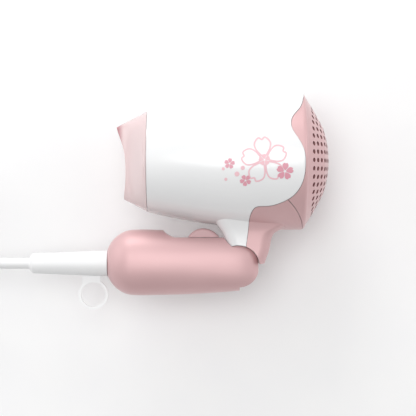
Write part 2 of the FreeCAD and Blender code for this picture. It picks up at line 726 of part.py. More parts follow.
def impeller():
    """Axial fan: a domed hub and seven twisted blades."""
    start, end = value("Dims.impeller_start"), value("Dims.impeller_end")
    hub_radius, tip_radius = value("Dims.impeller_hub"), value("Dims.impeller_radius")
    hub = x_cylinder(hub_radius, start, end - start)
    hub = hub.makeFillet(2.5, [edge for edge in hub.Edges if abs(edge.CenterOfMass.x - end) < 0.01
                               and edge.Length > 10])
    blades = []
    count = int(value("Dims.blade_count"))
    thick, half_depth = value("Dims.blade_half_thick"), value("Dims.blade_half_depth")
    for index in range(count):
        sections = []
        for radius, pitch in ((hub_radius - 1.5, 50), (tip_radius * 0.66, 36), (tip_radius, 26)):
            lead = math.radians(pitch)
            chord = half_depth / math.sin(lead)
            along = Vector(math.sin(lead), 0, math.cos(lead))
            across = Vector(math.cos(lead), 0, -math.sin(lead))
            middle = Vector((start + end) / 2, radius, 0)
            corners = [middle + along * (s * chord) + across * (t * thick)
                       for s, t in ((-1, -1), (1, -1), (1, 1), (-1, 1), (-1, -1))]
            sections.append(Part.makePolygon(corners))
        blade = Part.makeLoft(sections, True, False)
        blade.rotate(Vector(0, 0, 0), Vector(1, 0, 0), 360 / count * index)
        blade.translate(Vector(0, BARREL_Y, MID_Z))
        blades.append(blade)
    room = x_cylinder(tip_radius, start, end - start - 1)
    rotor = hub.fuse([blade.common(room) for blade in blades])
    bore = x_cylinder(value("Dims.shaft_radius"), start - 1, end - start + 2)
    shaped("fan_impeller", rotor.cut(bore))


def inlet_filter():
    """Fine mesh just inside the rear dome, as a thin cap of the dome's own profile."""
    cap = barrel_solid(WALL + 0.5).cut(barrel_solid(WALL + 1.0))
    shaped("inlet_filter", cap.common(x_cylinder(value("Dims.filter_radius"), 70, 30)))


# ---------------------------------------------------------------------------------------------
# Fold hinge
# ---------------------------------------------------------------------------------------------


def hinge_bracket():
    """Knuckle on the pin and an arm held between the neck's screw posts."""
    half_width = value("Dims.knuckle_half")
    knuckle = z_cylinder(value("Dims.knuckle_radius"), MID_Z - half_width, MID_Z + half_width,
                         HINGE.x, HINGE.y)
    arm_half = half_width - 0.4
    corners = [Vector(x, y, MID_Z - arm_half) for x, y in ARM_OUTLINE]
    arm = wire_face(polyline(corners)).extrude(Vector(0, 0, 2 * arm_half))
    bore = z_cylinder(value("Dims.pin_radius") + value("Dims.pin_play"), MID_Z - 20, MID_Z + 20,
                      HINGE.x, HINGE.y)
    ways = [z_cylinder(value("Dims.screw_clear"), MID_Z - 20, MID_Z + 20, x, y) for x, y in NECK_SCREWS]
    shaped("hinge_bracket", knuckle.fuse(arm).cut([bore] + ways).removeSplitter())


def screws(label, places, head_z, tip_z, head_radius=2.8, shank_radius=1.25):
    """Pan-head screws along Z with a cross recess, their heads below."""
    solids = []
    for x, y in places:
        head = rod(head_radius, 2, (x, y, head_z), "Z")
        shank = rod(shank_radius, tip_z - head_z - 2, (x, y, head_z + 2), "Z")
        cross = [block((3.4, 0.8, 1), (x - 1.7, y - 0.4, head_z)),
                 block((0.8, 3.4, 1), (x - 0.4, y - 1.7, head_z))]
        solids.append(minus(plus(head, shank), *cross))
    node(group(*solids), label)


# ---------------------------------------------------------------------------------------------
# Handle
# ---------------------------------------------------------------------------------------------


def scoop(drop):
    """Flat recess along the barrel side of the handle, where the slide switch runs."""
    floor = value("Dims.scoop_y") - drop
    start, foot = Vector(-10.4 - drop, -16.0, 0), Vector(-2.4 - 0.6 * drop, floor, 0)
    bend = Vector(-6.6 - drop, floor + 1.55, 0)
    low = Vector(0, 0, MID_Z - DEPTH)
    edge = Part.Arc(start + low, bend + low, foot + low).toShape()
    rest = polyline([foot + low, Vector(60, floor, 0) + low, Vector(60, 0, 0) + low,
                     Vector(start.x, 0, 0) + low, start + low])
    return prism([edge] + rest)


def handle_casing():
    ear_inner = value("Dims.ear_inner")
    ears = z_cylinder(value("Dims.ear_radius"), MID_Z - DEPTH, MID_Z + DEPTH, HINGE.x, HINGE.y)
    step = Part.makeBox(REACH, REACH, 2 * DEPTH, Vector(value("Dims.step_x"), -REACH, MID_Z - DEPTH))
    barrel_room = barrel_solid(-1.0)
    neck_room = neck_solid(-0.45).cut(ears)
    outer = handle_solid(0).cut(step.cut(ears)).cut(scoop(0)).cut(neck_room).cut(barrel_room)
    cavity = handle_solid(WALL).common(Part.makeBox(value("Dims.bulkhead_x") + 40.4, REACH, 2 * DEPTH,
                                                    Vector(-40.4, -90, MID_Z - DEPTH)))
    cavity = cavity.cut(scoop(WALL))
    slot = z_cylinder(value("Dims.slot_clear"), MID_Z - ear_inner, MID_Z + ear_inner, HINGE.x, HINGE.y)
    pin = z_cylinder(value("Dims.pin_radius"), MID_Z - 14.0, MID_Z + 14.0, HINGE.x, HINGE.y)
    entry = Part.makeCylinder(5.4, 12, Vector(-46, value("Dims.lead_y"), MID_Z), Vector(1, 0, 0))
    plunger = Part.makeCylinder(1.7, 8, Vector(19, HINGE.y, MID_Z), Vector(1, 0, 0))
    wire_way = Part.makeCylinder(2.2, 8, Vector(19, HINGE.y - 6, MID_Z), Vector(1, 0, 0))
    travel, stem = value("Dims.switch_travel"), value("Dims.stem_half") + 0.3
    stem_x, stem_length = value("Dims.stem_x"), value("Dims.stem_length")
    switch_slot = Part.makeBox(stem_length + travel + 0.8, 8, 2 * stem,
                               Vector(stem_x - travel - 0.4, -26, MID_Z - stem))
    shell = outer.cut(cavity).cut([slot, pin, entry, plunger, wire_way, switch_slot])
    for side, label in ((-1, "handle_shell_right"), (1, "handle_shell_left")):
        piece = shell.common(half(side))
        low, high = (MID_Z - 15, MID_Z) if side < 0 else (MID_Z, MID_Z + 15)
        posts = [z_cylinder(3.6, low, high, x, y) for x, y in HANDLE_SCREWS]
        if side < 0:
            posts += [z_cylinder(2.8, low, MID_Z + 3.0, x, y) for x, y in CLAMP_SCREWS]
        posts = [post.common(cavity) for post in posts]
        holes = [z_cylinder(1.5, MID_Z - 20, MID_Z, x, y) for x, y in HANDLE_SCREWS]
        holes += [z_cylinder(value("Dims.screw_sink"), MID_Z - 20, MID_Z - 9.5, x, y)
                  for x, y in HANDLE_SCREWS]
        holes += [z_cylinder(value("Dims.screw_core"), MID_Z, MID_Z + 9, x, y)
                  for x, y in HANDLE_SCREWS]
        holes += [z_cylinder(1.1, MID_Z - 8, MID_Z + 9, x, y) for x, y in CLAMP_SCREWS]
        shaped(label, piece.fuse(posts).cut(holes))


def hinge_pin():
    node(rod("Dims.pin_radius", 27.8, ("Dims.hinge_x", "Dims.hinge_y", "Dims.mid_z - 13.9"), "Z"),
         "hinge_pin")
    node(rod(1.5, 4.5, (20.3, "Dims.hinge_y", "Dims.mid_z")), "detent_plunger")
    node(tube(1.6, 1.0, 5.8, (14.4, "Dims.hinge_y", "Dims.mid_z")), "detent_spring")


def switch():
    stem = block(("Dims.stem_length", 3.6, "2 * Dims.stem_half"),
                 ("Dims.stem_x", -24.8, "Dims.mid_z - Dims.stem_half"))
    node(button(), "switch_button")
    carrier = block((20.4, 2.0, 12.0), (0.2, -26.4, "Dims.mid_z - 6"))
    lug = block((4.0, 1.6, 4.0), (10.8, -28.0, "Dims.mid_z - 2"))
    node(plus(carrier, stem, lug), "switch_carrier")
    body = block((17.6, 11.2, 14.0), (-4.0, -39.9, "Dims.mid_z - 7"))
    channel = block((13.0, 3.0, 5.0), (3.0, -30.6, "Dims.mid_z - 2.5"))
    node(minus(body, channel), "switch_body")
    blades = [block((0.8, 3.6, 3.0), (x, -43.5, "Dims.mid_z - 1.5")) for x in (-1.5, 4.4)]
    node(group(*blades), "switch_terminals")


def button():
    """Thumb slide: a low hump with three grip grooves across it."""
    low = Vector(0, 0, MID_Z - value("Dims.knob_half"))
    front, rising, crest, falling, back = [Vector(x, y, 0) + low for x, y in BUTTON_OUTLINE]
    edges = [Part.Arc(front, rising, crest).toShape(), Part.Arc(crest, falling, back).toShape(),
             Part.LineSegment(back, front).toShape()]
    hump = wire_face(edges).extrude(Vector(0, 0, 2 * value("Dims.knob_half")))
    ends = [edge for edge in hump.Edges
            if abs(abs(edge.CenterOfMass.z - MID_Z) - value("Dims.knob_half")) < 0.01
            and edge.CenterOfMass.y > front.y + 0.5]
    hump = hump.makeFillet(1.6, ends)
    grooves = [Part.makeCylinder(0.55, 9, Vector(x, y, MID_Z - 4.5), Vector(0, 0, 1))
               for x, y in GRIP_GROOVES]
    thing = DOC.addObject("Part::Feature", "switch_button")
    thing.Shape = hump.cut(grooves)
    thing.Placement = FreeCAD.Placement()
    return thing


def handle_inside():
    node(block((15, 10.5, 10), (-24, -33, "Dims.mid_z - 5")), "suppression_capacitor")
    bar = block((5, 18.0, 3.2), (-34, -45.9, "Dims.mid_z + 3.3"))
    bores = [rod(1.4, 6, (x, y, "Dims.mid_z + 2"), "Z") for x, y in CLAMP_SCREWS]
    node(minus(bar, *bores), "cord_clamp")
    solids = []
    for x, y in CLAMP_SCREWS:
        head = rod(2.4, 1.6, (x, y, "Dims.mid_z + 6.5"), "Z")
        shank = rod(1.05, 12, (x, y, "Dims.mid_z - 5.5"), "Z")
        slit = block((4, 0.7, 0.8), (x - 2, y - 0.35, "Dims.mid_z + 7.4"))
        solids.append(minus(plus(head, shank), slit))
    node(group(*solids), "clamp_screws")
    node(rod("Dims.cord_radius", 9.3, (-37.4, "Dims.lead_y", "Dims.mid_z")), "lead_inner_end")
    wires = [rod(1.1, 24.0, (-28.1, "Dims.lead_y - 4.4", f"Dims.mid_z + {dz}"))
             for dz in (-1.3, 1.3)]
    node(group(*wires), "handle_wires")


def neck_wires():
    """Two leads in the neck, from beside the bracket's arm up to the heater."""
    solids = []
    for side in (-1, 1):
        low = Vector(47.5, -19.0, MID_Z + side * 3)
        high = Vector(47.5, -14.2, MID_Z + side * 3)
        solids.append(Part.makeCylinder(1.1, (high - low).Length, low, high - low))
    shaped("neck_wires", Part.makeCompound(solids))


# ---------------------------------------------------------------------------------------------
# Strain relief, hanging loop, lead and plug
# ---------------------------------------------------------------------------------------------


def strain_relief():
    base, tip = "Dims.relief_base_x", "Dims.relief_tip_x"
    corners = [(tip, 0), (tip, "Dims.relief_tip_radius - 1.6"),
               (f"{tip} + 1.6", "Dims.relief_tip_radius"), (base, "Dims.relief_base_radius"),
               (base, 5.2), (f"{base} + 2.9", 5.2), (f"{base} + 2.9", 7.6), (f"{base} + 5.7", 7.6),
               (f"{base} + 5.7", 0)]
    node(turned(corners, (0, "Dims.lead_y", "Dims.mid_z")), "strain_relief")


def hanging_loop():
    x, y = value("Dims.loop_x"), value("Dims.loop_y")
    thick = value("Dims.loop_thick")
    low, high = MID_Z - thick / 2, MID_Z + thick / 2
    band = z_cylinder(value("Dims.loop_outer"), low, high, x, y)
    tab = Part.makeBox(11.0, 7.5, thick, Vector(x - 6.5, y + value("Dims.loop_outer") - 3.0, low))
    whole = band.fuse(tab).cut(z_cylinder(value("Dims.loop_inner"), low - 1, high + 1, x, y))
    taper_length = value("Dims.relief_base_x") - value("Dims.relief_tip_x") - 1.6
    slope = (value("Dims.relief_base_radius") - value("Dims.relief_tip_radius")) / taper_length
    at_loop = value("Dims.relief_base_radius") - slope * (value("Dims.relief_base_x") - x)
    sleeve = Part.makeCone(at_loop - 20 * slope, at_loop + 8 * slope, 28,
                           Vector(x - 20, value("Dims.lead_y"), MID_Z), Vector(1, 0, 0))
    shaped("hanging_loop", whole.cut(sleeve).removeSplitter())


def rounded_path(points):
    """Straight runs joined by tangent arcs; each radius is 0.45 of the shorter run over tan(half turn)."""
    edges, radii = [], []
    last = points[0]
    for before, corner, after in zip(points, points[1:], points[2:]):
        back, ahead = (before - corner), (after - corner)
        run = min(back.Length, ahead.Length)
        back.normalize()
        ahead.normalize()
        turn = math.pi - back.getAngle(ahead)
        trim = 0.45 * run
        radius = trim / math.tan(turn / 2)
        start, end = corner + back * trim, corner + ahead * trim
        centre_way = (back + ahead).normalize()
        centre = corner + centre_way * (radius / math.cos(turn / 2))
        middle = centre - centre_way * radius
        if (start - last).Length > 1e-6:
            edges.append(Part.LineSegment(last, start).toShape())
        edges.append(Part.Arc(start, middle, end).toShape())
        last = end
        radii.append(radius)
    edges.append(Part.LineSegment(last, points[-1]).toShape())
    return Part.Wire(edges), radii


def cord_tube(route):
    radius = value("Dims.cord_radius")
    points = [Vector(*point) for point in route]
    path, radii = rounded_path(points)
    section = Part.Wire(Part.Circle(points[0], points[1] - points[0], radius).toShape())
    solid = path.makePipeShell([section], True, False)
    expected = math.pi * radius ** 2 * path.Length
    print("cord length", round(path.Length, 1), "radii", [round(r, 1) for r in radii],
          "volume ratio", round(solid.Volume / expected, 4))
    return solid


def lead():
    shaped("cord_tube", cord_tube(CORD_ROUTE))
    shaped("cord_tail", cord_tube(TAIL_ROUTE))
    radius = value("Dims.cord_radius")
    x, y, mid = value("Dims.coil_x"), value("Dims.coil_y"), value("Dims.coil_mid")
    height = 2 * radius * value("Dims.coil_layers")
    middle = z_cylinder(mid - 2 * radius, -1, height + 1, x, y)
    bundle = z_cylinder(mid + 2 * radius, 0, height, x, y).cut(middle)
    rims = [edge for edge in bundle.Edges if edge.Length > 100]
    shaped("cord_coil", bundle.makeFillet(radius - 0.1, rims))


def cord_tie():
    """Twist tie round the coil's section, on its far side."""
    radius = value("Dims.cord_radius")
    x, y, mid = value("Dims.coil_x"), value("Dims.coil_y"), value("Dims.coil_mid")
    height = 2 * radius * value("Dims.coil_layers")
    outer = Part.makeBox(4 * radius + 1.6, 5, height + 0.8,
                         Vector(x + mid - 2 * radius - 0.8, y - 2.5, 0.1))
    inner = Part.makeBox(4 * radius + 0.2, 7, height + 0.2,
                         Vector(x + mid - 2 * radius - 0.1, y - 3.5, -0.1))
    shaped("cord_tie", outer.cut(inner))


CORD_END = Vector(*TAIL_ROUTE[-1])


def plug():
    """Flat two-pin plug lying beside the coil, its pins along +Y."""
    wires = []
    for along, wide, thick in PLUG_STATIONS:
        bend = min(wide, thick) * 0.8
        flat_ring = rounded_section(0, -wide, wide, thick, bend)
        flat_ring.translate(Vector(CORD_END.x, CORD_END.y + along, CORD_END.z - MID_Z))
        wires.append(flat_ring)
    shaped("plug_body", Part.makeLoft(wires, True, False))
    face = CORD_END.y + PLUG_STATIONS[-1][0]
    pitch, length = value("Dims.plug_pin_pitch"), value("Dims.plug_pin_length")
    pins = []
    for side in (-0.5, 0.5):
        foot = Vector(CORD_END.x + side * pitch, face, CORD_END.z)
        pin = Part.makeCylinder(value("Dims.plug_pin_radius"), length, foot, Vector(0, 1, 0))
        tips = [edge for edge in pin.Edges if edge.CenterOfMass.y > face + length - 0.1]
        pins.append(pin.makeFillet(1.2, tips))
    shaped("plug_pins", Part.makeCompound(pins))


# ---------------------------------------------------------------------------------------------
# Build, check and write
# ---------------------------------------------------------------------------------------------

casing()
nozzle()
outlet_grille()
heater()
fan_duct()
motor()
impeller()
inlet_filter()
hinge_bracket()
screws("neck_screws", NECK_SCREWS, MID_Z - 13.6, MID_Z + 12)
handle_casing()
screws("handle_screws", HANDLE_SCREWS, MID_Z - 11.5, MID_Z + 8.5)
hinge_pin()
switch()
handle_inside()
neck_wires()
strain_relief()
hanging_loop()
lead()
cord_tie()
plug()
DOC.recompute()

for item in DOC.Objects:
    if "Invalid" in item.State or "Error" in item.State:
        raise SystemExit(f"{item.Name} ({item.Label}) did not build: {item.State}")
for item in NODES:
    if item.Shape.isNull() or not item.Shape.isValid() or not item.Shape.Solids:
        raise SystemExit(f"{item.Label} has no valid solid")

os.makedirs("parts", exist_ok=True)
for item in NODES:
    item.Shape.exportStep(f"parts/{item.Label}.step")
print(len(NODES), "nodes written")
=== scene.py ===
import json
import math

import bmesh
import bpy
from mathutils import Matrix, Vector
from mathutils.bvhtree import BVHTree


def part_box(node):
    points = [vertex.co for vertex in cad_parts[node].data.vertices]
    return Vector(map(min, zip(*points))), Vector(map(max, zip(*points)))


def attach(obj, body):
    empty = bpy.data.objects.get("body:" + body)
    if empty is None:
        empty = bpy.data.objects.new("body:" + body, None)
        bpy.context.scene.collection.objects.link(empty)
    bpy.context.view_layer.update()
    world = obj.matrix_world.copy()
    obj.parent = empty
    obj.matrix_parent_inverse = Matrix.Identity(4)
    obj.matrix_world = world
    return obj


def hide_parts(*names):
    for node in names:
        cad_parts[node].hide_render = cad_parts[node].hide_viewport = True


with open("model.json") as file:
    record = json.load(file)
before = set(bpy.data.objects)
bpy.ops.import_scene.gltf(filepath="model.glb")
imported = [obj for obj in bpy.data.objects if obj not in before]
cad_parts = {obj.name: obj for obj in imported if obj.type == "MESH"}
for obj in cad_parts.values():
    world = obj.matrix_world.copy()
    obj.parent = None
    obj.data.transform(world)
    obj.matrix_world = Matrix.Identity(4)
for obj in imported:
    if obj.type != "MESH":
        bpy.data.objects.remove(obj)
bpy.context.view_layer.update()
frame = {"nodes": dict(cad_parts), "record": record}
NODES = frame["nodes"]
MM = 0.001

# Axis of the barrel and middle plane of the casings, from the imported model.
RIM_LOW, RIM_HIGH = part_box("outlet_grille")
BARREL_Y = (RIM_LOW.y + RIM_HIGH.y) / 2
MID_Z = (RIM_LOW.z + RIM_HIGH.z) / 2

# ---------------------------------------------------------------------------
# Materials: colours are linear RGB, noise scales are per metre
# ---------------------------------------------------------------------------

# Share of a noise's range where the dark shade ends and the light one begins.
RAMP_DARK, RAMP_LIGHT = 0.35, 0.65

# Scale and detail of a moulding's slow colour drift, handling marks and grain.
DRIFT = (18.0, 3.0)
MARKS = (55.0, 6.0)
GRAIN_SCALE, GRAIN_DETAIL = 900.0, 3.0
GRAIN_STRENGTH = 0.25
GRAIN_DEPTH = 0.02 * MM

# The same for a metal's tarnish and its fine scratches.
TARNISH = (90.0, 5.0)
SCRATCHES = (240.0, 5.0)

PINK = (0.69, 0.452, 0.458)
PINK_DARK = (0.66, 0.425, 0.432)
# Painted shade: dark pink that stands for the nozzle's clear wall seen edge on at its lip.
LIP_PAINTED_SHADE = (0.52, 0.20, 0.23)

# Painted shade: the nozzle's tint deepens between these X, where its clear wall is seen edge on, up
# to this share of the lip's dark pink.
LIP_SHADE_START, LIP_SHADE_END = -32.5 * MM, -37.5 * MM
LIP_SHADE_SHARE = 0.9


def new_material(name, color, roughness, **sockets):
    """Principled material with constant values set on the shader's own sockets."""
    material = bpy.data.materials.new(name)
    material.use_nodes = True
    shader = material.node_tree.nodes["Principled BSDF"]
    shader.inputs["Base Color"].default_value = (*color, 1.0)
    shader.inputs["Roughness"].default_value = roughness
    for socket, number in sockets.items():
        shader.inputs[socket.replace("_", " ")].default_value = number
    return material


def noise(material, scale, detail=4.0, stretch=(1, 1, 1)):
    """Noise over the object's own coordinates, which are the row frame's metres."""
    tree = material.node_tree
    place = tree.nodes.new("ShaderNodeTexCoord")
    mapping = tree.nodes.new("ShaderNodeMapping")
    mapping.inputs["Scale"].default_value = stretch
    texture = tree.nodes.new("ShaderNodeTexNoise")
    texture.inputs["Scale"].default_value = scale
    texture.inputs["Detail"].default_value = detail
    tree.links.new(place.outputs["Object"], mapping.inputs["Vector"])
    tree.links.new(mapping.outputs["Vector"], texture.inputs["Vector"])
    return texture.outputs["Fac"]


def vary_color(material, factor, dark, light):
    """Colour that drifts between two near shades."""
    tree = material.node_tree
    ramp = tree.nodes.new("ShaderNodeValToRGB")
    ends = zip(ramp.color_ramp.elements, (RAMP_DARK, RAMP_LIGHT), (dark, light))
    for element, position, shade in ends:
        element.position = position
        element.color = (*shade, 1)
    tree.links.new(factor, ramp.inputs["Fac"])
    tree.links.new(ramp.outputs["Color"], tree.nodes["Principled BSDF"].inputs["Base Color"])


def vary_roughness(material, factor, low, high):
    """Gloss that is duller where it has been handled."""
    tree = material.node_tree
    spread = tree.nodes.new("ShaderNodeMapRange")
    spread.inputs["To Min"].default_value = low
    spread.inputs["To Max"].default_value = high
    tree.links.new(factor, spread.inputs["Value"])
    tree.links.new(spread.outputs["Result"], tree.nodes["Principled BSDF"].inputs["Roughness"])


def grain(material, height, strength, depth):
    """Bump from a height between 0 and 1, depth metres high."""
    tree = material.node_tree
    bump = tree.nodes.new("ShaderNodeBump")
    bump.inputs["Strength"].default_value = strength
    bump.inputs["Distance"].default_value = depth
    tree.links.new(height, bump.inputs["Height"])
    tree.links.new(bump.outputs["Normal"], tree.nodes["Principled BSDF"].inputs["Normal"])


def plastic(name, dark, light, rough, grain_scale=GRAIN_SCALE, grain_depth=GRAIN_DEPTH, **sockets):
    """Moulded plastic: slow colour drift, handling marks in the gloss, fine moulded grain."""
    material = new_material(name, light, rough[0], **sockets)
    vary_color(material, noise(material, *DRIFT), dark, light)
    vary_roughness(material, noise(material, *MARKS), *rough)
    grain(material, noise(material, grain_scale, GRAIN_DETAIL), GRAIN_STRENGTH, grain_depth)
    return material


def metal(name, dark, light, rough, stretch=(1, 1, 1)):
    """Bare metal, whose tarnish and scratches are drawn out along the stretch's small axes."""
    material = new_material(name, light, rough[0], Metallic=1.0)
    vary_color(material, noise(material, *TARNISH, stretch), dark, light)
    vary_roughness(material, noise(material, *SCRATCHES, stretch), *rough)
    return material


def weave(name, dark, light, scale):
    """Woven mesh across the barrel, from two crossed sets of waves."""
    material = new_material(name, light, 0.6, Metallic=0.4)
    tree = material.node_tree
    place = tree.nodes.new("ShaderNodeTexCoord")
    product = tree.nodes.new("ShaderNodeMath")
    product.operation = "MULTIPLY"
    for index, direction in enumerate(("Y", "Z")):
        wave = tree.nodes.new("ShaderNodeTexWave")
        wave.bands_direction = direction
        wave.inputs["Scale"].default_value = scale
        tree.links.new(place.outputs["Object"], wave.inputs["Vector"])
        tree.links.new(wave.outputs["Fac"], product.inputs[index])
    vary_color(material, product.outputs[0], dark, light)
    return material


def clear_pink():
    """Tinted clear plastic, with a painted shade that deepens it towards the nozzle's lip, where
    the wall is seen edge on.
    """
    material = plastic("pink_clear_plastic", (0.94, 0.74, 0.745), (0.96, 0.80, 0.80), (0.08, 0.14),
                       grain_depth=0.005 * MM, Transmission_Weight=0.3, IOR=1.49, Coat_Weight=0.5)
    tree = material.node_tree
    shader = tree.nodes["Principled BSDF"]
    tint = shader.inputs["Base Color"].links[0].from_socket
    place = tree.nodes.new("ShaderNodeTexCoord")
    split = tree.nodes.new("ShaderNodeSeparateXYZ")
    # Painted shade: mixes the tint towards the lip's dark pink along X.
    lip = tree.nodes.new("ShaderNodeMapRange")
    lip.interpolation_type = "SMOOTHSTEP"
    lip.inputs["From Min"].default_value = LIP_SHADE_START
    lip.inputs["From Max"].default_value = LIP_SHADE_END
    lip.inputs["To Max"].default_value = LIP_SHADE_SHARE
    blend = tree.nodes.new("ShaderNodeMix")
    blend.data_type = "RGBA"
    blend.inputs["B"].default_value = (*LIP_PAINTED_SHADE, 1)
    tree.links.new(place.outputs["Object"], split.inputs["Vector"])
    tree.links.new(split.outputs["X"], lip.inputs["Value"])
    tree.links.new(lip.outputs["Result"], blend.inputs["Factor"])
    tree.links.new(tint, blend.inputs["A"])
    tree.links.new(blend.outputs["Result"], shader.inputs["Base Color"])
    return material


# One material for each slot. A plastic or metal is given as its name, dark shade, light shade
# and lowest and highest roughness.
MATERIALS = {
    "white_gloss": plastic(
        "white_gloss_plastic", (0.80, 0.805, 0.81), (0.825, 0.827, 0.83), (0.2, 0.27),
        IOR=1.5, Coat_Weight=0.35, Coat_Roughness=0.12),
    "pink_satin": plastic(
        "pink_pearl_plastic", PINK_DARK, PINK, (0.47, 0.54),
        Metallic=0.38, Coat_Weight=0.12, Coat_Roughness=0.3, Sheen_Weight=0.3, Sheen_Roughness=0.3),
    "pink_clear": clear_pink(),
    "pink_knob": plastic(
        "pink_knob_plastic", (0.56, 0.36, 0.37), (0.60, 0.39, 0.40), (0.38, 0.46)),
    "white_soft": plastic(
        "white_soft_plastic", (0.80, 0.805, 0.81), (0.84, 0.84, 0.845), (0.42, 0.5),
        grain_scale=1400.0, grain_depth=0.04 * MM),
    "grille_plastic": plastic(
        "dark_grille_plastic", (0.03, 0.025, 0.025), (0.05, 0.042, 0.042), (0.5, 0.6)),
    "inner_plastic": plastic(
        "inner_plastic", (0.52, 0.50, 0.47), (0.58, 0.56, 0.53), (0.5, 0.6)),
    "black_plastic": plastic(
        "black_plastic", (0.015, 0.015, 0.016), (0.03, 0.03, 0.03), (0.4, 0.5)),
    "mica": plastic(
        "mica_sheet", (0.38, 0.30, 0.17), (0.52, 0.43, 0.27), (0.35, 0.6),
        grain_scale=300.0, grain_depth=0.1 * MM),
    "heating_wire": metal("heating_wire", (0.16, 0.13, 0.11), (0.28, 0.25, 0.22), (0.4, 0.55)),
    "steel": metal("steel", (0.42, 0.42, 0.43), (0.55, 0.55, 0.56), (0.28, 0.4), (1, 1, 12)),
    "bronze": metal("bronze", (0.45, 0.27, 0.12), (0.60, 0.38, 0.18), (0.3, 0.42)),
    "ferrite": plastic("ferrite", (0.02, 0.02, 0.022), (0.045, 0.045, 0.05), (0.7, 0.85)),
    "circuit_board": plastic("circuit_board", (0.30, 0.20, 0.08), (0.38, 0.27, 0.12), (0.4, 0.5)),
    "filter_mesh": weave("filter_mesh", (0.008, 0.004, 0.004), (0.05, 0.03, 0.03), 250 / 3),
    "wire_sleeve": plastic("wire_sleeve", (0.10, 0.03, 0.02), (0.16, 0.05, 0.035), (0.4, 0.5)),
    "tie_plastic": plastic("tie_plastic", (0.62, 0.62, 0.62), (0.70, 0.70, 0.70), (0.4, 0.5)),
    "pin_nickel": metal(
        "nickel_plate", (0.60, 0.58, 0.54), (0.70, 0.68, 0.64), (0.16, 0.26), (12, 1, 1)),
}
HOLE_SHADE = plastic("perforation_shade", (0.20, 0.075, 0.075), (0.27, 0.11, 0.11), (0.6, 0.7))
PRINT_LINE = plastic("blossom_line_ink", (0.78, 0.47, 0.52), (0.84, 0.55, 0.59), (0.35, 0.42))
PRINT_FILL = plastic("blossom_fill_ink", (0.68, 0.30, 0.37), (0.76, 0.38, 0.45), (0.35, 0.42))

# ---------------------------------------------------------------------------
# CAD nodes
# ---------------------------------------------------------------------------

# An edge between faces that turn more than this stays crisp.
SHARP_ANGLE = math.radians(32)

# A hole's wall has a normal with an X share below this, no farther out than this past the filter.
WALL_TILT = 0.12
WALL_REACH = 1 * MM


def dress_nodes():
    """Every CAD node takes its slot's material and shades smoothly across its round faces."""
    for entry in frame["record"]["subparts"]:
        mesh = NODES[entry["node"]].data
        mesh.materials.clear()
        mesh.materials.append(MATERIALS[entry["material_slot"]])
        mesh.polygons.foreach_set("use_smooth", [True] * len(mesh.polygons))
        mesh.set_sharp_from_angle(angle=SHARP_ANGLE)
    darken_perforations(NODES["rear_cover"].data)


def darken_perforations(mesh):
    """The walls of the dome's holes, parallel to the barrel, sit in the dome's own shade."""
    mesh.materials.append(HOLE_SHADE)
    low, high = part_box("inlet_filter")
    reach = (high.y - low.y) / 2 + WALL_REACH
    for face in mesh.polygons:
        out = math.hypot(face.center.y - BARREL_Y, face.center.z - MID_Z)
        if abs(face.normal.x) < WALL_TILT and face.center.x > low.x and out < reach:
            face.material_index = 1


# ---------------------------------------------------------------------------
# Blossom print on the side of the barrel that faces up
# ---------------------------------------------------------------------------

# One side of a petal, along and across it, and the notch in its tip, in units of its length.
PETAL_HALF = [(0.15, 0.045), (0.30, 0.18), (0.50, 0.31), (0.72, 0.36), (0.90, 0.27), (1.0, 0.13)]
PETAL_NOTCH = (0.91, 0.0)
PETALS = 5
PETAL_TURN = 72
# Points of the outline that are drawn after each control point.
OUTLINE_PARTS = (0.0, 0.25, 0.5, 0.75)
FILL_RINGS = (0.35, 0.7, 1.0)
DISC_POINTS = 20

# Height of the ink over the shell: lines lie lowest, then the outlined flower's eye, then fills.
LINE_LIFT = 0.05 * MM
EYE_LIFT = 1.5 * LINE_LIFT
FILL_LIFT = 2 * LINE_LIFT
LINE_WIDTH = 0.85 * MM
LINE_INK, FILL_INK = 0, 1

# Centre X, centre Y and outer radius, in millimetres.
OUTLINED = (49.6, 24.0, 13.0)
FILLED = [(61.4, 17.4, 4.9), (38.8, 12.2, 3.3), (29.6, 21.9, 3.1)]
DOTS = [(26.0, 18.9, 0.9), (27.5, 12.9, 0.9), (33.9, 15.9, 1.4), (37.2, 19.4, 1.2)]

# Degrees that the first petal is turned by, and each further filled flower's extra turn.
OUTLINED_TURN = 97
FILLED_TURN, FLOWER_TURN = 12, 35
EYE_SHARE = 0.26

# The ink is dropped onto the shell from this height.
DROP_HEIGHT = 1.0


def petal(centre, radius, heading):
    """Closed outline of one petal, smoothed through its control points."""
    mirrored = [(along, -across) for along, across in reversed(PETAL_HALF)]
    control = PETAL_HALF + [PETAL_NOTCH] + mirrored
    cosine, sine = math.cos(heading), math.sin(heading)
    outline = []
    count = len(control)
    for index in range(count):
        corners = [control[(index + step) % count] for step in (-1, 0, 1, 2)]
        for part in OUTLINE_PARTS:
            along, across = [
                0.5 * (2 * b + (c - a) * part + (2 * a - 5 * b + 4 * c - d) * part ** 2
                       + (3 * b - a - 3 * c + d) * part ** 3)
                for a, b, c, d in zip(*corners)]
            outline.append((centre[0] + radius * (along * cosine - across * sine),
                            centre[1] + radius * (along * sine + across * cosine)))
    return outline


def disc(centre, radius):
    """Round outline."""
    angles = [2 * math.pi * index / DISC_POINTS for index in range(DISC_POINTS)]
    return [(centre[0] + radius * math.cos(angle), centre[1] + radius * math.sin(angle))
            for angle in angles]


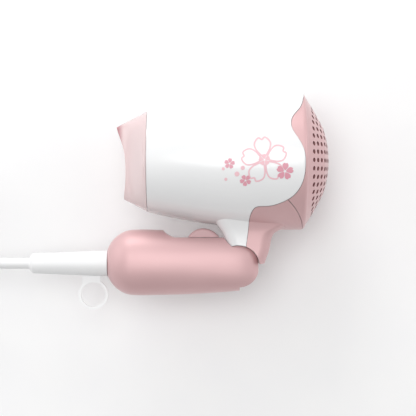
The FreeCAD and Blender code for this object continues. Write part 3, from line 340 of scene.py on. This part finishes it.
def make_print():
    """Thin layers of ink that follow the shell they are printed on."""
    shell = NODES["barrel_shell_left"].data
    tree = BVHTree.FromPolygons([v.co for v in shell.vertices],
                                [tuple(p.vertices) for p in shell.polygons])
    vertices, faces, inks = [], [], []

    def ink_point(x, y, lift):
        place, normal = tree.ray_cast(Vector((x, y, DROP_HEIGHT)), Vector((0, 0, -1)))[:2]
        if normal.z < 0:
            normal = -normal
        vertices.append(place + normal * lift)
        return len(vertices) - 1

    def ribbon(outline):
        rows = []
        for index, here in enumerate(outline):
            before, after = outline[index - 1], outline[(index + 1) % len(outline)]
            way = Vector((after[0] - before[0], after[1] - before[1])).normalized()
            side = Vector((-way.y, way.x)) * LINE_WIDTH / 2
            rows.append((ink_point(here[0] - side.x, here[1] - side.y, LINE_LIFT),
                         ink_point(here[0] + side.x, here[1] + side.y, LINE_LIFT)))
        for index, row in enumerate(rows):
            after = rows[(index + 1) % len(rows)]
            faces.append((row[0], after[0], after[1], row[1]))
            inks.append(LINE_INK)

    def fill(outline, lift, ink):
        middle_x = sum(x for x, _ in outline) / len(outline)
        middle_y = sum(y for _, y in outline) / len(outline)
        centre = ink_point(middle_x, middle_y, lift)
        rings = []
        for share in FILL_RINGS:
            rings.append([ink_point(middle_x + share * (x - middle_x),
                                    middle_y + share * (y - middle_y), lift)
                          for x, y in outline])
        for index in range(len(outline)):
            after = (index + 1) % len(outline)
            faces.append((centre, rings[0][index], rings[0][after]))
            inks.append(ink)
            for inner, outer in zip(rings, rings[1:]):
                faces.append((inner[index], outer[index], outer[after], inner[after]))
                inks.append(ink)

    x, y, radius = [part * MM for part in OUTLINED]
    for index in range(PETALS):
        heading = math.radians(OUTLINED_TURN + PETAL_TURN * index)
        ribbon(petal((x, y), radius, heading))
        fill(petal((x, y), EYE_SHARE * radius, heading), EYE_LIFT, LINE_INK)
    for number, flower in enumerate(FILLED):
        x, y, radius = [part * MM for part in flower]
        for index in range(PETALS):
            heading = math.radians(PETAL_TURN * index + FLOWER_TURN * number + FILLED_TURN)
            fill(petal((x, y), radius, heading), FILL_LIFT, FILL_INK)
    for dot in DOTS:
        x, y, radius = [part * MM for part in dot]
        fill(disc((x, y), radius), FILL_LIFT, LINE_INK)
    mesh = bpy.data.meshes.new("blossom_print")
    mesh.from_pydata(vertices, [], faces)
    mesh.materials.append(PRINT_LINE)
    mesh.materials.append(PRINT_FILL)
    for face, ink in zip(mesh.polygons, inks):
        face.material_index = ink
        face.use_smooth = True
    flowers = bpy.data.objects.new("blossom_print", mesh)
    bpy.context.scene.collection.objects.link(flowers)
    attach(flowers, "housing")


# ---------------------------------------------------------------------------
# Camera, light and floor
# ---------------------------------------------------------------------------

VIEW_CENTRE = Vector((17.2 * MM, -3.7 * MM, MID_Z))
VIEW_WIDTH = 249.6 * MM
VIEW_DISTANCE = 0.95
SENSOR = 36.0
CLIP_START = 0.01

# Name, place, aim, diameter and power of each round light.
LIGHTS = [
    ("key", (-0.3, 1.2, 0.5), (0.0, 0.0, 0.03), 0.7, 6.0),
    ("top", (-0.15, 0.15, 1.4), (0.0, 0.0, 0.03), 0.9, 6.9),
    ("right_fill", (1.0, 0.35, 0.45), (0.0, 0.0, 0.04), 0.8, 2.2),
    ("left_fill", (-1.0, 0.3, 0.4), (0.0, 0.0, 0.04), 0.8, 2.0),
]

# Strength of the white sky towards -Y and towards +Y, the picture's lower and upper edge.
SKY_LOW, SKY_HIGH = 0.4, 0.74

FLOOR_REACH = 3.0
FLOOR_CELLS = 8
FLOOR_COLOR = (0.9, 0.9, 0.9)
FLOOR_ROUGHNESS = 0.9
FLOOR_DARK, FLOOR_LIGHT = (0.895, 0.895, 0.9), (0.905, 0.905, 0.905)
FLOOR_NOISE = 30.0


def make_camera():
    """Camera straight above the dryer, framed as in the photograph."""
    data = bpy.data.cameras.new("camera")
    data.sensor_width = SENSOR
    data.lens = SENSOR * VIEW_DISTANCE / VIEW_WIDTH
    data.clip_start = CLIP_START
    camera = bpy.data.objects.new("camera", data)
    camera.location = VIEW_CENTRE + Vector((0, 0, VIEW_DISTANCE))
    bpy.context.scene.collection.objects.link(camera)
    bpy.context.scene.camera = camera


def area_light(name, place, aim, size, power):
    """Round soft light that faces its aim."""
    data = bpy.data.lights.new(name, "AREA")
    data.shape = "DISK"
    data.size = size
    data.energy = power
    light = bpy.data.objects.new(name, data)
    light.location = place
    toward = Vector(aim) - Vector(place)
    light.rotation_euler = toward.to_track_quat("-Z", "Y").to_euler()
    bpy.context.scene.collection.objects.link(light)


def make_sky():
    """White surroundings, brighter behind the barrel than behind the handle."""
    world = bpy.data.worlds.new("studio")
    world.use_nodes = True
    sky = world.node_tree
    sky.nodes["Background"].inputs["Color"].default_value = (1, 1, 1, 1)
    direction = sky.nodes.new("ShaderNodeTexCoord")
    split = sky.nodes.new("ShaderNodeSeparateXYZ")
    fade = sky.nodes.new("ShaderNodeMapRange")
    fade.inputs["From Min"].default_value = -1.0
    fade.inputs["To Min"].default_value = SKY_LOW
    fade.inputs["To Max"].default_value = SKY_HIGH
    sky.links.new(direction.outputs["Generated"], split.inputs["Vector"])
    sky.links.new(split.outputs["Y"], fade.inputs["Value"])
    sky.links.new(fade.outputs["Result"], sky.nodes["Background"].inputs["Strength"])
    bpy.context.scene.world = world


def make_floor():
    """Plain pale sheet under the dryer."""
    mesh = bpy.data.meshes.new("floor")
    form = bmesh.new()
    bmesh.ops.create_grid(form, x_segments=FLOOR_CELLS, y_segments=FLOOR_CELLS, size=FLOOR_REACH)
    form.to_mesh(mesh)
    form.free()
    floor = bpy.data.objects.new("floor", mesh)
    bpy.context.scene.collection.objects.link(floor)
    paper = new_material("floor_paper", FLOOR_COLOR, FLOOR_ROUGHNESS)
    vary_color(paper, noise(paper, FLOOR_NOISE), FLOOR_DARK, FLOOR_LIGHT)
    mesh.materials.append(paper)


def make_studio():
    """Soft white light and the floor."""
    bpy.context.scene.view_settings.view_transform = "Standard"
    make_sky()
    for light in LIGHTS:
        area_light(*light)
    make_floor()


# ---------------------------------------------------------------------------
# Mains lead, routes in millimetres
# ---------------------------------------------------------------------------

CORD_DIAMETER = 6.5 * MM

# From the sleeve's end down to the coil, and from the coil to the plug.
CORD_ROUTE = [(-89.4, -36.9, 40.9), (-104.0, -36.9, 40.9), (-119.0, -37.0, 36.6),
              (-133.0, -37.1, 28.6), (-147.0, -37.1, 21.0), (-161.0, -36.9, 16.9),
              (-176.0, -36.9, 16.25)]
TAIL_ROUTE = [(-220.25, 0.85, 3.25), (-220.2, 13.5, 3.35), (-218.4, 26.5, 4.7),
              (-215.2, 38.5, 7.6), (-213.0, 49.0, 9.0)]

COIL_CENTRE = (-176.0, 0.85)
COIL_MIDDLE = 34.5
# Points in each turn.
COIL_STEPS = 24
# Column and layer of each turn, in the cord's radii from the coil's middle and the floor.
COIL_TURNS = [(1, 5), (-1, 5), (-1, 3), (-1, 1), (1, 3), (1, 1)]
# The last part of a turn, where the cord passes into the next one.
EASE_FROM, EASE_SPAN = 0.84, 0.16
# After the last turn the cord steps out by its own thickness, in a quarter of a turn.
EXIT_PART = 4
EXIT_STEP = 2

CURVE_RESOLUTION = 6


def smooth(share):
    """Ease from 0 to 1."""
    share = min(max(share, 0.0), 1.0)
    return share * share * (3 - 2 * share)


def coil_points():
    """Turns wound clockwise from the lead's entry, each easing into the next near its end."""
    radius = CORD_DIAMETER / MM / 2
    last = len(COIL_TURNS) - 1
    points = []
    for step in range(1, len(COIL_TURNS) * COIL_STEPS + COIL_STEPS // EXIT_PART):
        turn, part = divmod(step / COIL_STEPS, 1.0)
        column, layer = COIL_TURNS[min(int(turn), last)]
        if turn < last:
            ease = smooth((part - EASE_FROM) / EASE_SPAN)
            column += ease * (COIL_TURNS[int(turn) + 1][0] - column)
            layer += ease * (COIL_TURNS[int(turn) + 1][1] - layer)
        if turn > last:
            column += EXIT_STEP * smooth(part * EXIT_PART)
        reach = COIL_MIDDLE + column * radius
        angle = -math.pi / 2 - 2 * math.pi * step / COIL_STEPS
        points.append((COIL_CENTRE[0] + reach * math.cos(angle),
                       COIL_CENTRE[1] + reach * math.sin(angle), layer * radius))
    return points


def make_cord():
    """The lead as one curve, from the sleeve through its tied coil to the plug."""
    curve = bpy.data.curves.new("mains_lead", "CURVE")
    curve.dimensions = "3D"
    curve.bevel_depth = CORD_DIAMETER / 2
    curve.bevel_resolution = CURVE_RESOLUTION
    curve.resolution_u = CURVE_RESOLUTION
    curve.use_fill_caps = True
    points = CORD_ROUTE + coil_points() + TAIL_ROUTE
    spline = curve.splines.new("NURBS")
    spline.points.add(len(points) - 1)
    for knot, point in zip(spline.points, points):
        knot.co = (*[part * MM for part in point], 1.0)
    spline.order_u = 3
    spline.use_endpoint_u = True
    cord = bpy.data.objects.new("mains_lead", curve)
    bpy.context.scene.collection.objects.link(cord)
    curve.materials.append(MATERIALS["white_soft"])
    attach(cord, "handle")
    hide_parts("cord_tube", "cord_coil", "cord_tail")


make_camera()
make_studio()
dress_nodes()
make_cord()
make_print()
